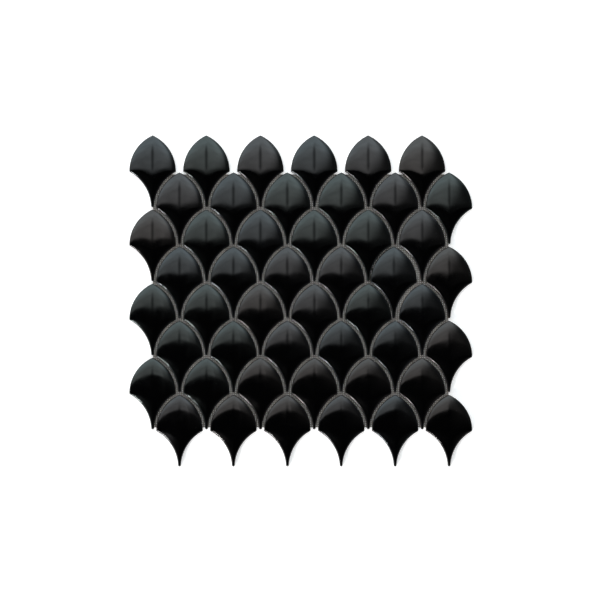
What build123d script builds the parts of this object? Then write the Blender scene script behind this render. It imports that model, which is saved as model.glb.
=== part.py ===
from build123d import *

import os
from math import sqrt

# A sheet of fish-scale metal mosaic: domed chips glued in offset rows on a trimmed backing mesh.
# Millimetres, +Z up. The sheet lies on its mesh, face up, with the origin under its middle.
# Each chip points along +Y: a pointed arch above its widest level, a hollow-sided stem below it.

# Laying pattern
ROWS = 8
CHIPS_PER_ROW = 6
JOINT = 2.0
SLIPPED_CHIP = (4, 5)  # row and column of the one chip that was laid out of line
SLIP = -0.6 * JOINT

# One chip
CHIP_WIDTH = 40.6
ARCH_RADIUS = 34.1
SHOULDER = 0.45  # drop from the widest level to the corner where the hollow side starts
STEM_WIDTH = 2.4
EDGE_HEIGHT = 4.5
CROWN_RISE = 3.0
EDGE_BEVEL = 0.4  # eases the edge between wall and crown

# Backing mesh
MESH_THICKNESS = 0.5
MESH_TRIM = 1.5  # how far the mesh stays inside the outer chips' edges

# Plan of a chip about the middle of its widest level. The hollow side of a chip is drawn about the
# arch centre of the chip below it, so that the joint between them is even.
HALF_WIDTH = CHIP_WIDTH / 2
ARCH_OFFSET = ARCH_RADIUS - HALF_WIDTH
APEX_Y = sqrt(ARCH_RADIUS**2 - ARCH_OFFSET**2)
CHIP_PITCH = CHIP_WIDTH + STEM_WIDTH + 2 * JOINT
HOLLOW_RADIUS = ARCH_RADIUS + JOINT
HOLLOW_X = CHIP_PITCH / 2 + ARCH_OFFSET
ROW_PITCH = sqrt(HOLLOW_RADIUS**2 - (HOLLOW_X - HALF_WIDTH) ** 2) + SHOULDER
STEM_END_Y = APEX_Y - 2 * ROW_PITCH + JOINT
STEM_END_RADIUS = 0.65 * STEM_WIDTH  # a little over half the stem, so that its end is blunt

# Crown of a chip: an arc that rises from the edge and is level half a chip's width in from it
CROWN_HEIGHT = EDGE_HEIGHT + CROWN_RISE
CROWN_RADIUS = (HALF_WIDTH**2 + CROWN_RISE**2) / (2 * CROWN_RISE)

# Places of the outer chips
FIRST_X = -(CHIPS_PER_ROW - 0.5) * CHIP_PITCH / 2
FIRST_Y = ((ROWS - 1) * ROW_PITCH - STEM_END_Y - APEX_Y) / 2
LAST_Y = FIRST_Y - (ROWS - 1) * ROW_PITCH


def crown_z(inset):
    """Height of a chip's face at a distance in from its wall."""
    return CROWN_HEIGHT - CROWN_RADIUS + sqrt(CROWN_RADIUS**2 - (HALF_WIDTH - inset) ** 2)


def flank(wall, limit):
    """Ring or disc with a chip's section: wall, eased edge and crown, from the wall to a limit radius."""
    side = 1 if limit > wall else -1
    reach = min(HALF_WIDTH, abs(limit - wall))
    edge, middle, top = [(wall + side * inset, crown_z(inset)) for inset in (0, reach / 2, reach)]
    level = [(limit, CROWN_HEIGHT)] if reach == HALF_WIDTH else []
    with BuildSketch(Plane.XZ) as section:
        with BuildLine():
            ThreePointArc(edge, middle, top)
            Polyline(top, *level, (limit, 0), (wall, 0), edge)
        make_face()
        chamfer(section.vertices().sort_by_distance(edge)[0], EDGE_BEVEL)
    return revolve(section.sketch, Axis.Z)


def make_chip():
    """One chip, standing on z = 0: the part of space that all its flanks share."""
    arch = Pos(-ARCH_OFFSET, 0) * Rot(0, 0, 180) * flank(ARCH_RADIUS, 0)
    hollow = Pos(HOLLOW_X, -ROW_PITCH) * flank(HOLLOW_RADIUS, HOLLOW_RADIUS + 2 * ARCH_RADIUS)
    end_y = STEM_END_Y + STEM_END_RADIUS
    onward = (Align.CENTER, Align.MIN, Align.MIN)
    above_end = Box(CHIP_PITCH, 2 * APEX_Y - end_y, CROWN_HEIGHT, align=onward)
    stem_end = Pos(0, end_y) * (above_end + flank(STEM_END_RADIUS, 0))
    # The arches' flanks close in below the widest level, where only the hollow sides shape the stem
    stem_room = Box(HALF_WIDTH, ROW_PITCH, CROWN_HEIGHT, align=(Align.CENTER, Align.MAX, Align.MIN))
    body = (arch & mirror(arch, about=Plane.YZ)) + Pos(0, -ROW_PITCH / 2) * stem_room
    return body & hollow & mirror(hollow, about=Plane.YZ) & stem_end


def chip_outline(inset):
    """Plan of one chip, drawn in from its walls."""
    arch = Pos(-ARCH_OFFSET, 0) * Circle(ARCH_RADIUS - inset)
    hollow = Pos(HOLLOW_X, -ROW_PITCH) * Circle(HOLLOW_RADIUS + inset)
    onward = (Align.CENTER, Align.MIN)
    above_end = Pos(0, STEM_END_Y + inset) * Rectangle(CHIP_PITCH, 2 * ROW_PITCH, align=onward)
    lens = arch & mirror(arch, about=Plane.YZ) & above_end
    return lens - hollow - mirror(hollow, about=Plane.YZ)


def chip_place(row, column):
    """Middle of a chip's widest level. Even rows are laid half a pitch to the right."""
    shift = CHIP_PITCH / 2 if row % 2 == 0 else 0
    slip = SLIP if (row, column) == SLIPPED_CHIP else 0
    x = FIRST_X + (column - 1) * CHIP_PITCH + shift + slip
    return Pos(x, FIRST_Y - (row - 1) * ROW_PITCH)


def on_rim(row, column):
    """Whether a chip is on the sheet's own edge, where the mesh is cut to the chip's shape."""
    outer_column = 1 if row % 2 == 1 else CHIPS_PER_ROW
    return row in (1, ROWS) or column == outer_column


def make_mesh():
    """Backing mesh as a thin sheet: a plain field, with a tongue under each chip on the rim."""
    top = FIRST_Y - ROW_PITCH + APEX_Y - MESH_TRIM
    bottom = LAST_Y + ROW_PITCH + STEM_END_Y + MESH_TRIM
    field = Pos(0, (top + bottom) / 2) * Rectangle(-2 * FIRST_X, top - bottom)
    tongue = chip_outline(MESH_TRIM)
    for row, column in GRID:
        if on_rim(row, column):
            field += chip_place(row, column) * tongue
    return extrude(field, MESH_THICKNESS)


GRID = [(row, column) for row in range(1, ROWS + 1) for column in range(1, CHIPS_PER_ROW + 1)]

os.makedirs("parts", exist_ok=True)
export_step(make_mesh(), "parts/mesh_backing.step")
chip = make_chip()
for row, column in GRID:
    placed_chip = Pos(0, 0, MESH_THICKNESS) * chip_place(row, column) * chip
    export_step(placed_chip, f"parts/chip_row{row}_col{column}.step")
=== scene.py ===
"""Looks of a fish-scale mosaic sheet: lacquered metal chips on an open glass-fibre net, seen from above."""

import logging
import math
import random
from dataclasses import dataclass, field
from enum import Enum
from typing import Callable

import bmesh
import bpy
from mathutils import Matrix, Vector


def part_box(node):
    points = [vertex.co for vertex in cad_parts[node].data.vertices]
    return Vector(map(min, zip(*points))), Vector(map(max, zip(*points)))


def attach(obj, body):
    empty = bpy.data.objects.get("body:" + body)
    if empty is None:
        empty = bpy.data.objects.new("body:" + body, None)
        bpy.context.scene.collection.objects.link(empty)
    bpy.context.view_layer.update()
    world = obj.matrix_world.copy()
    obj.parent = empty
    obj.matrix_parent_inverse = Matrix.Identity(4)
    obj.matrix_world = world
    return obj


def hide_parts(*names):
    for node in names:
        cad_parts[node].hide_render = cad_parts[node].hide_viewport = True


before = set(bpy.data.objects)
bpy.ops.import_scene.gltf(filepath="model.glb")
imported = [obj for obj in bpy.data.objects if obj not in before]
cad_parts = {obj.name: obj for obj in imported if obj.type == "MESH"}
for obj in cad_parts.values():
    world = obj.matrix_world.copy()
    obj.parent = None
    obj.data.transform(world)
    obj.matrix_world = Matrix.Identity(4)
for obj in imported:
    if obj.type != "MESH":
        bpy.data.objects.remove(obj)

LOG = logging.getLogger("mosaic_sheet")

Colour = tuple[float, float, float]
Place = tuple[float, float, float]
Span = tuple[float, float]

MM = 0.001
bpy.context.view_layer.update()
BODY = "root"
NET_NODE = "mesh_backing"
# Point attribute that carries the painted shade along the ridge.
RIDGE_MARK = "ridge_painted_shade"
LAYING_SEED = 8


class Tint(Enum):
    """Cast of a lacquer batch, as the colour of what its gloss mirrors."""

    BLUE = (0.88, 0.96, 1.0)
    TEAL = (0.88, 1.0, 0.98)
    WARM = (1.0, 0.96, 0.94)
    PLAIN = (0.97, 0.98, 1.0)


class Along(Enum):
    """Run of a thread in the net."""

    ROWS = 0
    COLUMNS = 1


class Nodes:
    """Short calls for making and linking shader nodes in one tree."""

    def __init__(self, tree: bpy.types.NodeTree) -> None:
        """Empty the tree and keep it."""
        self.tree = tree
        tree.nodes.clear()

    def add(self, kind: str, **settings: object) -> bpy.types.Node:
        """Make a node.

        Args:
            kind: Blender's type name of the node.
            settings: properties of the node to set.

        Returns:
            The new node.
        """
        node = self.tree.nodes.new(kind)
        for name, value in settings.items():
            setattr(node, name, value)
        return node

    def feed(self, socket: bpy.types.NodeSocket, value: object) -> None:
        """Link an output to a socket, or set the socket to a constant.

        Args:
            socket: input to feed.
            value: output socket, or a number, vector or colour.
        """
        if isinstance(value, bpy.types.NodeSocket):
            self.tree.links.new(value, socket)
        else:
            socket.default_value = value

    def coords(self, kind: str = "Object") -> bpy.types.NodeSocket:
        """Socket of the place that is shaded, in one of Blender's kinds of coordinates."""
        return self.add("ShaderNodeTexCoord").outputs[kind]

    def axes(self, vector: bpy.types.NodeSocket) -> bpy.types.NodeOutputs:
        """Split a vector.

        Args:
            vector: socket with the vector.

        Returns:
            Outputs named X, Y and Z.
        """
        node = self.add("ShaderNodeSeparateXYZ")
        self.feed(node.inputs[0], vector)
        return node.outputs

    def math(self, operation: str, *values: object) -> bpy.types.NodeSocket:
        """Work out one number from up to three others.

        Args:
            operation: Blender's name of the operation.
            values: sockets or numbers.

        Returns:
            The result's socket.
        """
        node = self.add("ShaderNodeMath", operation=operation)
        for socket, value in zip(node.inputs, values):
            self.feed(socket, value)
        return node.outputs["Value"]

    def step(
        self, value: object, low: float, high: float, start: float = 0.0, end: float = 1.0
    ) -> bpy.types.NodeSocket:
        """Change smoothly from start to end while a value goes from low to high.

        Args:
            value: socket that is read.
            low: value at which the change starts.
            high: value at which it ends.
            start: result up to low.
            end: result from high on.

        Returns:
            The result's socket.
        """
        node = self.add("ShaderNodeMapRange", interpolation_type="SMOOTHSTEP")
        for socket, given in zip(node.inputs, (value, low, high, start, end)):
            self.feed(socket, given)
        return node.outputs["Result"]

    def noise(self, vector: object, scale: float, detail: float = 2.0) -> bpy.types.NodeSocket:
        """Soft noise.

        Args:
            vector: socket with the place.
            scale: waves per metre.
            detail: number of finer layers.

        Returns:
            Socket of the noise's strength, from 0 to 1.
        """
        node = self.add("ShaderNodeTexNoise")
        self.feed(node.inputs["Vector"], vector)
        node.inputs["Scale"].default_value = scale
        node.inputs["Detail"].default_value = detail
        return node.outputs["Fac"]

    def bump(self, relief: object, depth: float) -> bpy.types.NodeSocket:
        """Shade a surface as if it had a relief.

        Args:
            relief: socket with the relief's height, from 0 to 1.
            depth: depth of the relief in metres.

        Returns:
            Socket of the normal.
        """
        node = self.add("ShaderNodeBump")
        node.inputs["Distance"].default_value = depth
        self.feed(node.inputs["Height"], relief)
        return node.outputs["Normal"]

    def blend(self, share: object, first: Colour, second: Colour) -> bpy.types.NodeSocket:
        """Mix two colours.

        Args:
            share: how much of the second colour shows.
            first: first colour.
            second: second colour.

        Returns:
            The mixed colour's socket.
        """
        node = self.add("ShaderNodeMix", data_type="RGBA")
        self.feed(node.inputs[0], share)
        self.feed(node.inputs[6], rgba(first))
        self.feed(node.inputs[7], rgba(second))
        return node.outputs[2]

    def show(self, shader: bpy.types.Node, kind: str = "ShaderNodeOutputMaterial") -> None:
        """Give the tree its surface.

        Args:
            shader: node that makes the surface.
            kind: Blender's type name of the output node.
        """
        output = self.add(kind)
        self.feed(output.inputs["Surface"], shader.outputs[0])


def rgba(colour: Colour) -> tuple[float, float, float, float]:
    """Colour in the form that a socket takes."""
    return (*colour, 1.0)


def new_material(name: str) -> tuple[bpy.types.Material, Nodes]:
    """Make an empty material.

    Args:
        name: name of the material.

    Returns:
        The material, and the short calls for its nodes.
    """
    material = bpy.data.materials.new(name)
    material.use_nodes = True
    return material, Nodes(material.node_tree)


@dataclass(frozen=True)
class Lacquer:
    """Black gloss lacquer on a metal chip, worn through to warm bare metal low on the walls."""

    tint: Tint
    black: Colour = (0.0006, 0.0006, 0.0007)
    bare: Colour = (0.24, 0.15, 0.10)
    bare_roughness: float = 0.45
    coat_low: float = 1.4 * MM
    coat_high: float = 3.4 * MM
    drip_scale: float = 420.0
    drip_length: float = 1.6 * MM
    gloss_roughness: float = 0.07
    smear_roughness: float = 0.126
    smear_scale: float = 90.0
    smear_detail: float = 3.0
    smear_edge: Span = (0.35, 0.8)
    ripple_scale: float = 55.0
    ripple_detail: float = 1.0
    ripple_depth: float = 0.035 * MM
    ior: float = 1.5
    specular: float = 0.5
    # Painted shade: how much the gloss is dimmed along the ridge, for a dark line there.
    ridge_shade_strength: float = 0.62

    def make(self) -> bpy.types.Material:
        """Make the material.

        Returns:
            Material that reads object coordinates and the mark of the painted shade along the ridge.
        """
        material, nodes = new_material(f"lacquer_{self.tint.name.lower()}")
        place = nodes.coords()
        drip = nodes.noise(place, self.drip_scale)
        level = nodes.math("MULTIPLY_ADD", drip, self.drip_length, nodes.axes(place)["Z"])
        mean = self.drip_length / 2
        worn = nodes.step(level, self.coat_low + mean, self.coat_high + mean, 1.0, 0.0)
        smear = nodes.noise(place, self.smear_scale, self.smear_detail)
        gloss = nodes.step(smear, *self.smear_edge, self.gloss_roughness, self.smear_roughness)
        rough = nodes.math("MULTIPLY_ADD", worn, self.bare_roughness - self.gloss_roughness, gloss)
        ripple = nodes.noise(place, self.ripple_scale, self.ripple_detail)
        # Painted shade: the gloss is dimmed along the ridge, so the crown mirrors a dark line there.
        ridge_shade = nodes.add("ShaderNodeAttribute", attribute_name=RIDGE_MARK).outputs["Fac"]
        shaded_specular = self.specular * (1 - self.ridge_shade_strength)
        shader = nodes.add("ShaderNodeBsdfPrincipled")
        nodes.feed(shader.inputs["Base Color"], nodes.blend(worn, self.black, self.bare))
        nodes.feed(shader.inputs["Roughness"], rough)
        nodes.feed(shader.inputs["Normal"], nodes.bump(ripple, self.ripple_depth))
        nodes.feed(shader.inputs["Specular IOR Level"], nodes.step(ridge_shade, 0.0, 1.0, self.specular, shaded_specular))
        shader.inputs["IOR"].default_value = self.ior
        shader.inputs["Specular Tint"].default_value = rgba(self.tint.value)
        nodes.show(shader)
        return material


@dataclass(frozen=True)
class GlassThread:
    """Coated glass-fibre thread, with fine filaments along it and uneven glue; its colours are set darker
    than the pale fibre, as painted shade for the deep joints.
    """

    # The glue patches are the thread's own uneven tone. Both colours are also darkened well below the
    # fibre's pale tone, as painted shade for the deep joints.
    fibre_and_painted_shade: Colour = (0.25, 0.228, 0.205)
    glue: Colour = (0.17, 0.153, 0.133)
    glue_scale: float = 140.0
    glue_detail: float = 3.0
    glue_edge: Span = (0.4, 0.7)
    filament_scale: float = 5200.0
    filament_depth: float = 0.08 * MM
    roughness: float = 0.55

    def make(self) -> bpy.types.Material:
        """Make the material.

        Returns:
            Material that reads object coordinates.
        """
        material, nodes = new_material("glass_thread")
        place = nodes.coords()
        patches = nodes.step(nodes.noise(place, self.glue_scale, self.glue_detail), *self.glue_edge)
        filaments = nodes.noise(place, self.filament_scale)
        shader = nodes.add("ShaderNodeBsdfPrincipled")
        nodes.feed(shader.inputs["Base Color"], nodes.blend(patches, self.fibre_and_painted_shade, self.glue))
        nodes.feed(shader.inputs["Normal"], nodes.bump(filaments, self.filament_depth))
        shader.inputs["Roughness"].default_value = self.roughness
        nodes.show(shader)
        return material


@dataclass(frozen=True)
class StudioFloor:
    """Plain white paper floor that keeps the sheet's soft shadow."""

    white: Colour = (0.90, 0.90, 0.90)
    roughness: float = 0.9
    specular: float = 0.1
    lift_colour: Colour = (1.0, 1.0, 1.0)
    lift: float = 0.45

    def make(self) -> bpy.types.Material:
        """Make the material, lifted a little for camera, glossy and transmission rays.

        Returns:
            Floor material.
        """
        material, nodes = new_material("studio_floor")
        rays = nodes.add("ShaderNodeLightPath").outputs
        seen = nodes.math("MAXIMUM", rays["Is Camera Ray"], rays["Is Glossy Ray"])
        seen = nodes.math("MAXIMUM", seen, rays["Is Transmission Ray"])
        shader = nodes.add("ShaderNodeBsdfPrincipled")
        shader.inputs["Base Color"].default_value = rgba(self.white)
        shader.inputs["Roughness"].default_value = self.roughness
        shader.inputs["Specular IOR Level"].default_value = self.specular
        shader.inputs["Emission Color"].default_value = rgba(self.lift_colour)
        nodes.feed(shader.inputs["Emission Strength"], nodes.math("MULTIPLY", seen, self.lift))
        nodes.show(shader)
        return material


@dataclass
class ChipPlan:
    """Plan of one chip in metres, about the middle of its widest level, with its arch towards +Y."""

    half_width: float = 20.3 * MM
    arch_radius: float = 34.1 * MM
    joint: float = 2.0 * MM
    stem_width: float = 2.4 * MM
    shoulder: float = 0.45 * MM

    def __post_init__(self) -> None:
        """Work out the arcs from the driving sizes."""
        self.arch_offset = self.arch_radius - self.half_width
        self.apex_y = math.sqrt(self.arch_radius**2 - self.arch_offset**2)
        self.hollow_radius = self.arch_radius + self.joint
        self.hollow_x = self.half_width + self.stem_width / 2 + self.joint + self.arch_offset
        drop = math.sqrt(self.hollow_radius**2 - (self.hollow_x - self.half_width) ** 2)
        self.row_pitch = drop + self.shoulder
        self.end_y = self.apex_y - 2 * self.row_pitch + self.joint
        # The stem's end is the round that meets both hollow sides smoothly
        rise = self.end_y + self.row_pitch
        room = self.hollow_x**2 + rise**2 - self.hollow_radius**2
        self.end_radius = room / (2 * (self.hollow_radius - rise))
        self.end_centre_y = self.end_y + self.end_radius

    def half_width_at(self, y: float) -> float:
        """Half the chip's width at a level.

        Args:
            y: level, from the stem's end to the apex.

        Returns:
            Half width, which is zero at both ends.
        """
        if y >= 0:
            return max(math.sqrt(max(self.arch_radius**2 - y**2, 0.0)) - self.arch_offset, 0.0)
        if y >= -self.shoulder:
            return self.half_width
        if y >= self.end_centre_y:
            return self.hollow_x - math.sqrt(self.hollow_radius**2 - (y + self.row_pitch) ** 2)
        return math.sqrt(max(self.end_radius**2 - (y - self.end_centre_y) ** 2, 0.0))

    def wall_lean(self, y: float) -> float:
        """How much longer a cut across the chip is than one square to its wall.

        Args:
            y: level.

        Returns:
            Ratio of the two lengths, at least 1.
        """
        if y >= 0:
            return self.arch_radius / math.sqrt(self.arch_radius**2 - y**2)
        return self.hollow_radius / (self.hollow_x - self.half_width_at(min(y, -self.shoulder)))

    def inset_at(self, x: float, y: float) -> float:
        """Distance in from the chip's wall.

        Args:
            x: distance from the centre line.
            y: level.

        Returns:
            Shortest distance to an arch, a hollow side or the stem's round end.
        """
        side = abs(x)
        if y >= 0:
            wall = self.arch_radius - math.hypot(side + self.arch_offset, y)
        else:
            wall = self.half_width - side
        hollow = math.hypot(self.hollow_x - side, y + self.row_pitch) - self.hollow_radius
        end = self.end_radius - math.hypot(side, y - self.end_centre_y) if y < self.end_centre_y else hollow
        return max(min(wall, hollow, end), 0.0)


@dataclass
class ScaleChip:
    """One domed chip with a soft ridge, a brow, a rounded edge and straight walls."""

    plan: ChipPlan = field(default_factory=ChipPlan)
    edge_height: float = 3.9 * MM
    edge_round: float = 0.8 * MM
    crown_slope: float = 0.172
    stem_rise: float = 0.25 * MM
    stem_curve: float = 2.7
    hollow_slope: float = 0.45
    hip_softness: float = 0.2
    hip_start: float = 12.0 * MM
    brow_slope: float = 0.0235
    brow_softness: float = 2.0 * MM
    brow_low: float = -3.5 * MM
    brow_high: float = 13.0 * MM
    crease: float = 0.55
    crease_softness: float = 0.07
    bow: float = 2.6
    # Painted shade along the ridge: its width, and where it fades in and out.
    ridge_shade_width: float = 1.3 * MM
    ridge_shade_low: float = -4.0 * MM
    ridge_shade_low_fade: float = 8.0 * MM
    ridge_shade_high_share: float = 0.84
    ridge_shade_high_fade: float = 9.0 * MM
    rim_steps: tuple[float, ...] = (0.0, 0.08, 0.3, 0.65, 1.0)
    rim_limit: float = 0.45
    even_share: float = 0.45
    along_steps: int = 168
    across_steps: int = 18
    weld: float = 0.002 * MM

    def crown(self, x: float, y: float) -> float:
        """Rise of the face over its edge.

        Args:
            x: distance from the centre line.
            y: level.

        Returns:
            Rise in metres: a dome whose ridge falls to the apex, hipped by the flanks of the hollow sides.
        """
        width = self.plan.half_width_at(max(y, 0.0))
        if width <= 0:
            return 0.0
        share = min(abs(x) / width, 1.0)
        soft = math.hypot(share, self.crease_softness) - self.crease_softness
        edge = math.hypot(1.0, self.crease_softness) - self.crease_softness
        fall = self.crease * soft / edge + (1 - self.crease) * share**self.bow
        rise = self.ridge(y) * (1 - fall) - self.brow_drop(y) * (1 - share) ** 2
        if y >= 0:
            return rise
        # Soft lesser of the dome and the flank that climbs from the hollow side
        flank = self.hollow_slope * self.plan.inset_at(x, y)
        hip = self.hip_softness * rise * min(-y / self.hip_start, 1.0)
        return (rise + flank - math.hypot(rise - flank, hip)) / 2

    def ridge(self, y: float) -> float:
        """Rise of the ridge line over the chip's edge.

        Args:
            y: level.

        Returns:
            Rise in metres: it follows the chip's width above the widest level and falls in a curve below it.
        """
        top = self.crown_slope * self.plan.half_width
        if y >= 0:
            return self.crown_slope * self.plan.half_width_at(y)
        return self.stem_rise + (top - self.stem_rise) * (1 - (y / self.plan.end_y) ** self.stem_curve)

    def brow_drop(self, y: float) -> float:
        """Drop of the ridge at the brow, a soft ramp that starts just under the widest level.

        Args:
            y: level.

        Returns:
            Drop in metres.
        """
        below, above = (y - self.brow_low, y - self.brow_high)
        soft = self.brow_softness
        ramp = (below + math.hypot(below, soft) - above - math.hypot(above, soft)) / 2
        return self.brow_slope * ramp * self.plan.half_width_at(max(y, 0.0)) / self.plan.half_width

    def ridge_shade(self, x: float, y: float) -> float:
        """Strength of the painted shade along the ridge, where the gloss is dimmed to a dark line.

        Args:
            x: distance from the centre line.
            y: level.

        Returns:
            Strength from 0 to 1: it fades to both sides, below the widest level and towards the apex.
        """
        high = self.ridge_shade_high_share * self.plan.apex_y
        from_low = min(max((y - self.ridge_shade_low) / self.ridge_shade_low_fade, 0.0), 1.0)
        from_high = min(max((high - y) / self.ridge_shade_high_fade, 0.0), 1.0)
        return math.exp(-((x / self.ridge_shade_width) ** 2)) * from_low * from_high

    def height(self, x: float, y: float) -> float:
        """Height of the face over the chip's underside, with the edge rounded off.

        Args:
            x: distance from the centre line.
            y: level.

        Returns:
            Height in metres.
        """
        gap = self.edge_round - min(self.plan.inset_at(x, y), self.edge_round)
        rounded = self.edge_height - self.edge_round + math.sqrt(self.edge_round**2 - gap**2)
        return rounded + self.crown(x, y)

    def column_x(self, column: int, width: float, lean: float) -> float:
        """Place of a column of the face's net of points.

        Args:
            column: column number, from left to right.
            width: half width of the chip at this level.
            lean: how much wider the edge's rounding is across the chip than square to the wall.

        Returns:
            Place across the chip: the outer columns follow the rounded edge, the rest close up on the ridge.
        """
        rim = len(self.rim_steps) - 1
        last = self.across_steps + 2 * rim
        side = -1.0 if column <= last / 2 else 1.0
        from_edge = min(column, last - column)
        rim_width = min(self.edge_round * lean, self.rim_limit * width)
        if from_edge < rim:
            return side * (width - rim_width * self.rim_steps[from_edge])
        middle = (column - last / 2) / (self.across_steps / 2)
        spread = self.even_share + (1 - self.even_share) * abs(middle)
        return (width - rim_width) * middle * spread

    def build(self) -> bmesh.types.BMesh:
        """Model one chip, standing on z = 0 about the middle of its widest level.

        Returns:
            Closed bmesh of the chip.
        """
        plan = self.plan
        columns = self.across_steps + 2 * (len(self.rim_steps) - 1)
        bm = bmesh.new()
        bmesh.ops.create_grid(bm, x_segments=columns, y_segments=self.along_steps, size=1.0)
        mark = bm.verts.layers.float.new(RIDGE_MARK)
        for vertex in bm.verts:
            share = (1 - math.cos(math.pi * (vertex.co.y + 1) / 2)) / 2
            y = plan.end_y + (plan.apex_y - plan.end_y) * share
            column = round((vertex.co.x + 1) / 2 * columns)
            x = self.column_x(column, plan.half_width_at(y), plan.wall_lean(y))
            vertex.co = Vector((x, y, self.height(x, y)))
            # Each point carries the strength of the painted shade along the ridge.
            vertex[mark] = self.ridge_shade(x, y)
        bmesh.ops.remove_doubles(bm, verts=bm.verts, dist=self.weld)
        rim = [edge for edge in bm.edges if edge.is_boundary]
        skirt = bmesh.ops.extrude_edge_only(bm, edges=rim)["geom"]
        for vertex in (item for item in skirt if isinstance(item, bmesh.types.BMVert)):
            vertex.co.z = 0.0
        foot = [edge for edge in bm.edges if edge.is_boundary]
        bmesh.ops.edgeloop_fill(bm, edges=foot)
        bmesh.ops.recalc_face_normals(bm, faces=bm.faces)
        return bm


@dataclass
class ChipField:
    """All chips of the sheet, each laid by hand in the place of its own node."""

    chip: ScaleChip = field(default_factory=ScaleChip)
    tilt: float = math.radians(0.175)
    turn: float = math.radians(0.25)
    sharp_angle: float = math.radians(50.0)

    def nodes(self) -> list[str]:
        """Names of the chips' nodes, row by row."""
        return sorted(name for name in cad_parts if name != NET_NODE)

    def place(self, node: str) -> Vector:
        """Middle of a chip's widest level, on its underside.

        Args:
            node: the chip's node.

        Returns:
            Place in metres.
        """
        low, high = (Vector(corner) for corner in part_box(node))
        return Vector(((low.x + high.x) / 2, high.y - self.chip.plan.apex_y, low.z))

    def build(self, finishes: list[bpy.types.Material]) -> list[bpy.types.Object]:
        """Lay every chip, each a little out of level as glued by hand.

        Args:
            finishes: lacquer batches to choose from.

        Returns:
            The chips.
        """
        chance = random.Random(LAYING_SEED)
        model = self.chip.build()
        pieces = []
        for node in self.nodes():
            lean = Matrix.Rotation(chance.gauss(0, self.tilt), 4, "X")
            lean @= Matrix.Rotation(chance.gauss(0, self.tilt), 4, "Y")
            lean @= Matrix.Rotation(chance.uniform(-self.turn, self.turn), 4, "Z")
            bm = model.copy()
            bmesh.ops.transform(bm, matrix=Matrix.Translation(self.place(node)) @ lean, verts=bm.verts)
            piece = to_object(bm, node.replace("chip", "scale"), chance.choice(finishes), self.sharp_angle)
            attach(piece, BODY)
            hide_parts(node)
            pieces.append(piece)
        model.free()
        return pieces


@dataclass
class BackingNet:
    """Open glass-fibre net under the chips, cut to the outline of the sheet."""

    plan: ChipPlan = field(default_factory=ChipPlan)
    pitch: float = 1.6 * MM
    first_thread: float = 0.4
    thread_width: float = 1.15 * MM
    thread_share: float = 0.6
    trim: float = 1.5 * MM
    sample: float = 0.5 * MM
    shortest_run: int = 5
    sides: int = 8
    sharp_angle: float = math.radians(60.0)

    def inside(self, point: Vector, places: list[Vector], field_low: Vector, field_high: Vector) -> bool:
        """Whether the net reaches a point.

        Args:
            point: point in plan.
            places: middles of the chips.
            field_low: lowest corner of the net's plain field.
            field_high: highest corner of it.

        Returns:
            True on the field, and under a chip clear of its wall by the trim.
        """
        if field_low.x <= point.x <= field_high.x and field_low.y <= point.y <= field_high.y:
            return True
        for place in places:
            x, y = point.x - place.x, point.y - place.y
            if not self.plan.end_y < y < self.plan.apex_y or abs(x) > self.plan.half_width_at(y):
                continue
            if self.plan.inset_at(x, y) > self.trim:
                return True
        return False

    def runs(
        self, start: Vector, step: Vector, count: int, reached: Callable[[Vector], bool]
    ) -> list[tuple[int, int]]:
        """Stretches of a line that the net reaches.

        Args:
            start: first point of the line.
            step: way from a point to the next.
            count: number of points.
            reached: test of a point.

        Returns:
            First and last point number of each stretch.
        """
        found: list[tuple[int, int]] = []
        first = None
        for number in range(count + 1):
            hit = number < count and reached(start + step * number)
            if hit and first is None:
                first = number
            if not hit and first is not None:
                if number - first >= self.shortest_run:
                    found.append((first, number - 1))
                first = None
        return found

    def thread(
        self, bm: bmesh.types.BMesh, middle: Vector, length: float, along: Along, thickness: float
    ) -> None:
        """Add one flattened round thread.

        Args:
            bm: mesh to add it to.
            middle: middle of the thread.
            length: length of the thread.
            along: way it runs.
            thickness: height of the flattened thread.
        """
        half = self.thread_width / 2
        ends = {"radius1": half, "radius2": half, "depth": length}
        made = bmesh.ops.create_cone(bm, cap_ends=True, segments=self.sides, **ends)["verts"]
        axis = Matrix.Rotation(math.pi / 2, 4, "Y" if along is Along.ROWS else "X")
        flat = Matrix.Diagonal((1.0, 1.0, thickness / self.thread_width, 1.0))
        bmesh.ops.transform(bm, matrix=Matrix.Translation(middle) @ flat @ axis, verts=made)

    def build(self, places: list[Vector], finish: bpy.types.Material) -> bpy.types.Object:
        """Weave the net in the place of its node.

        Args:
            places: middles of the chips.
            finish: the threads' material.

        Returns:
            The net.
        """
        low, high = (Vector(corner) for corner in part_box(NET_NODE))
        left, right = min(place.x for place in places), max(place.x for place in places)
        top = max(place.y for place in places) - self.plan.row_pitch + self.plan.apex_y - self.trim
        bottom = min(place.y for place in places) + self.plan.row_pitch + self.plan.end_y + self.trim
        field_low, field_high = Vector((left, bottom, 0)), Vector((right, top, 0))
        thickness = (high.z - low.z) * self.thread_share

        def reached(point: Vector) -> bool:
            """Whether the net reaches a point."""
            return self.inside(point, places, field_low, field_high)

        bm = bmesh.new()
        for along in Along:
            across = 1 - along.value
            level = low.z + thickness / 2 if along is Along.ROWS else high.z - thickness / 2
            count = int((high[along.value] - low[along.value]) / self.sample)
            step = Vector((0, 0, 0))
            step[along.value] = self.sample
            for number in range(int((high[across] - low[across]) / self.pitch) + 1):
                start = Vector((low.x, low.y, level))
                start[across] += self.pitch * (number + self.first_thread)
                for first, last in self.runs(start, step, count, reached):
                    middle = start + step * (first + last) / 2
                    self.thread(bm, middle, self.sample * (last - first), along, thickness)
        net = to_object(bm, "glass_net", finish, self.sharp_angle)
        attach(net, BODY)
        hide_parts(NET_NODE)
        return net


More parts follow.
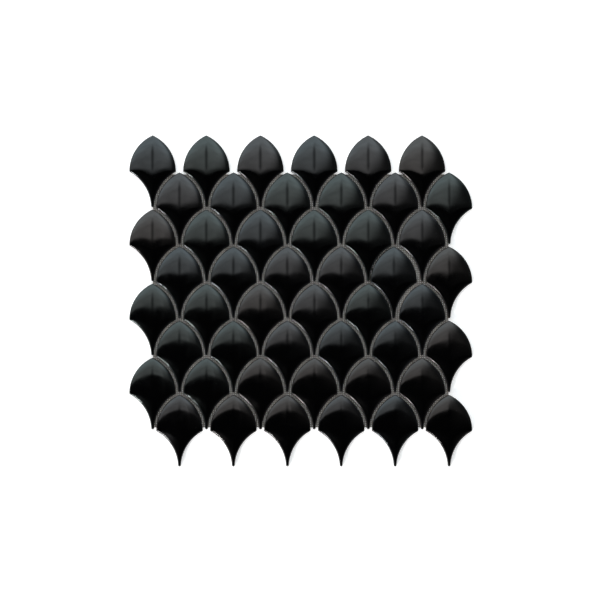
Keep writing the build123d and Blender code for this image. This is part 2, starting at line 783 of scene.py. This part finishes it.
def to_object(
    bm: bmesh.types.BMesh, name: str, finish: bpy.types.Material, sharp_angle: float
) -> bpy.types.Object:
    """Turn a bmesh into a smooth-shaded object at the origin.

    Args:
        bm: mesh, which is freed.
        name: name of the piece.
        finish: its material.
        sharp_angle: edges that turn by more than this stay sharp.

    Returns:
        The linked object.
    """
    mesh = bpy.data.meshes.new(name)
    bm.to_mesh(mesh)
    bm.free()
    mesh.shade_smooth()
    mesh.set_sharp_from_angle(angle=sharp_angle)
    mesh.materials.append(finish)
    piece = bpy.data.objects.new(name, mesh)
    bpy.context.scene.collection.objects.link(piece)
    return piece


@dataclass(frozen=True)
class LightPanel:
    """Soft lighting panel past the camera: brighter far off, dim to the right, with faint streaks."""

    near_edge: Span = (0.285, 0.36)
    far: float = 1.35
    near_strength: float = 1.35
    far_strength: float = 3.0
    near_cast: Colour = (1.0, 0.98, 0.97)
    far_cast: Colour = (0.86, 0.96, 1.0)
    right_edge: Span = (0.9, 1.7)
    right_share: float = 0.25
    bar: float = 0.615
    bar_edge: Span = (0.006, 0.03)
    bar_shade: float = 0.22
    bar_right: Span = (-0.3, 0.4)
    bar_right_share: float = 0.3
    streak: float = 0.24
    streak_edge: Span = (0.3, 0.7)
    streak_scale: float = 2.2
    streak_stretch: tuple[float, float, float] = (0.6, 5.0, 1.0)
    spill: float = 0.45
    spill_right: Span = (0.3, 1.2)
    spill_near: Span = (-0.3, 0.35)

    def glow(self, nodes: Nodes, spot: bpy.types.NodeSocket) -> bpy.types.NodeSocket:
        """Set out the panel's strength.

        Args:
            nodes: the material's nodes.
            spot: place on the panel.

        Returns:
            Socket of the strength: the panel with its bar and streaks, and the spill on its right.
        """
        axes = nodes.axes(spot)
        right, far = axes["X"], axes["Y"]
        bar = nodes.math("ABSOLUTE", nodes.math("SUBTRACT", far, self.bar))
        bar = nodes.step(bar, *self.bar_edge, self.bar_shade, 0.0)
        bar = nodes.math("MULTIPLY", bar, nodes.step(right, *self.bar_right, 1.0, self.bar_right_share))
        stretch = nodes.add("ShaderNodeMapping")
        nodes.feed(stretch.inputs["Vector"], spot)
        stretch.inputs["Scale"].default_value = self.streak_stretch
        waves = nodes.noise(stretch.outputs[0], self.streak_scale)
        shares = (
            nodes.step(far, *self.near_edge),
            nodes.step(right, *self.right_edge, 1.0, self.right_share),
            nodes.math("SUBTRACT", 1.0, bar),
            nodes.step(waves, *self.streak_edge, 1 - self.streak, 1.0),
        )
        glow = nodes.step(far, self.near_edge[1], self.far, self.near_strength, self.far_strength)
        for share in shares:
            glow = nodes.math("MULTIPLY", glow, share)
        spill = nodes.step(right, *self.spill_right, 0.0, self.spill)
        spill = nodes.math("MULTIPLY", spill, nodes.step(far, *self.spill_near))
        return nodes.math("ADD", glow, spill)

    def make(self) -> bpy.types.Material:
        """Make the glowing material.

        Returns:
            Material whose glow is set out in metres on object coordinates.
        """
        material, nodes = new_material("light_panel")
        spot = nodes.coords()
        cast = nodes.step(nodes.axes(spot)["Y"], self.near_edge[0], self.far)
        shader = nodes.add("ShaderNodeEmission")
        nodes.feed(shader.inputs["Color"], nodes.blend(cast, self.near_cast, self.far_cast))
        nodes.feed(shader.inputs["Strength"], self.glow(nodes, spot))
        nodes.show(shader)
        return material


@dataclass(frozen=True)
class Scrim:
    """Black net scrim hung on the right, open at its slanting edge."""

    black: Colour = (0.002, 0.002, 0.002)
    slant: float = 1.1
    edge: Span = (-0.18, 0.27)
    cover: float = 0.86

    def make(self) -> bpy.types.Material:
        """Make the material.

        Returns:
            Material whose cover is set out in metres on object coordinates.
        """
        material, nodes = new_material("scrim")
        axes = nodes.axes(nodes.coords())
        across = nodes.math("MULTIPLY_ADD", axes["Y"], -self.slant, axes["X"])
        net = nodes.add("ShaderNodeBsdfDiffuse")
        net.inputs["Color"].default_value = rgba(self.black)
        mix = nodes.add("ShaderNodeMixShader")
        nodes.feed(mix.inputs[0], nodes.step(across, *self.edge, 0.0, self.cover))
        nodes.feed(mix.inputs[1], nodes.add("ShaderNodeBsdfTransparent").outputs[0])
        nodes.feed(mix.inputs[2], net.outputs[0])
        nodes.show(mix)
        return material


@dataclass
class Studio:
    """White floor, low fill all round, a panel overhead, a scrim, a strip lamp and a camera looking down."""

    frame_width: float = 0.5228
    camera_distance: float = 2.4
    camera_x: float = -0.7 * MM
    camera_y: float = 0.8 * MM
    edge_level: float = 5.0 * MM
    near_clip: float = 0.01
    floor_size: float = 4.0
    floor_drop: float = 0.05 * MM
    panel_height: float = 2.6
    panel_size: float = 6.0
    panel_start: float = -0.5
    scrim_height: float = 1.0
    scrim_size: float = 1.0
    scrim_start: float = 0.165
    lamp_place: Place = (-1.05, -1.5, 0.9)
    lamp_aim: Place = (0.14, -0.11, 0.0)
    lamp_length: float = 1.0
    lamp_height: float = 0.1
    lamp_power: float = 1.1
    lamp_spread: float = math.radians(26.0)
    fill_colour: Colour = (1.0, 1.0, 1.0)
    fill_strength: float = 1.5
    fill_shade: float = 0.006
    fill_rise: Span = (0.35, 0.65)
    fill_right: Span = (-0.3, 0.8)
    fill_right_share: float = 0.4

    def fill(self) -> None:
        """Light the sheet from low all round, strongest on the left, with a dark sky above."""
        world = bpy.data.worlds.new("studio")
        bpy.context.scene.world = world
        world.use_nodes = True
        nodes = Nodes(world.node_tree)
        way = nodes.axes(nodes.coords("Generated"))
        low = nodes.step(way["Z"], *self.fill_rise, self.fill_strength, self.fill_shade)
        side = nodes.step(way["X"], *self.fill_right, 1.0, self.fill_right_share)
        glow = nodes.add("ShaderNodeBackground")
        glow.inputs["Color"].default_value = rgba(self.fill_colour)
        nodes.feed(glow.inputs["Strength"], nodes.math("MULTIPLY", low, side))
        nodes.show(glow, "ShaderNodeOutputWorld")

    def card(self, name: str, size: float, middle: Place, finish: bpy.types.Material) -> bpy.types.Object:
        """Make a level square.

        Args:
            name: name of the square.
            size: length of its sides.
            middle: its middle.
            finish: its material.

        Returns:
            The square.
        """
        bm = bmesh.new()
        bmesh.ops.create_grid(bm, x_segments=1, y_segments=1, size=size / 2)
        bmesh.ops.translate(bm, vec=middle, verts=bm.verts)
        return to_object(bm, name, finish, math.pi)

    def cards(self) -> None:
        """Hang the panel that the crowns mirror, and the scrim that dims it on the right."""
        middle = (0, self.panel_start + self.panel_size / 2, self.panel_height)
        self.card("light_panel", self.panel_size, middle, LightPanel().make())
        middle = (self.scrim_start + self.scrim_size / 2, self.scrim_size / 4, self.scrim_height)
        self.card("scrim", self.scrim_size, middle, Scrim().make())

    def lamp(self) -> None:
        """Set a strip lamp low on the near left, for the thin glints on the chips' edges."""
        strip = bpy.data.lights.new("edge_lamp", "AREA")
        strip.shape = "RECTANGLE"
        strip.size = self.lamp_length
        strip.size_y = self.lamp_height
        strip.spread = self.lamp_spread
        strip.energy = self.lamp_power
        lamp = bpy.data.objects.new("edge_lamp", strip)
        lamp.location = self.lamp_place
        aim = Vector(self.lamp_aim) - Vector(self.lamp_place)
        lamp.rotation_euler = aim.to_track_quat("-Z", "Y").to_euler()
        bpy.context.scene.collection.objects.link(lamp)

    def floor(self) -> None:
        """Lay the floor just under the sheet."""
        middle = (0, 0, -self.floor_drop)
        self.card("studio_floor", self.floor_size, middle, StudioFloor().make())

    def camera(self) -> None:
        """Hang the camera over the sheet, with the photograph's frame."""
        lens = bpy.data.cameras.new("camera")
        lens.sensor_fit = "HORIZONTAL"
        lens.angle = 2 * math.atan(self.frame_width / 2 / self.camera_distance)
        lens.clip_start = self.near_clip
        camera = bpy.data.objects.new("camera", lens)
        camera.location = (self.camera_x, self.camera_y, self.edge_level + self.camera_distance)
        bpy.context.scene.collection.objects.link(camera)
        bpy.context.scene.camera = camera

    def build(self) -> None:
        """Set up the whole studio."""
        self.fill()
        self.cards()
        self.lamp()
        self.floor()
        self.camera()


def main() -> None:
    """Build the sheet's pieces in order and report them."""
    logging.basicConfig(level=logging.INFO)
    bpy.context.scene.view_settings.view_transform = "Standard"
    Studio().build()
    chips = ChipField()
    for piece in chips.build([Lacquer(tint).make() for tint in Tint]):
        LOG.info("%s: %d faces", piece.name, len(piece.data.polygons))
    net = BackingNet().build([chips.place(node) for node in chips.nodes()], GlassThread().make())
    LOG.info("%s: %d faces", net.name, len(net.data.polygons))


if __name__ == "__main__":
    main()
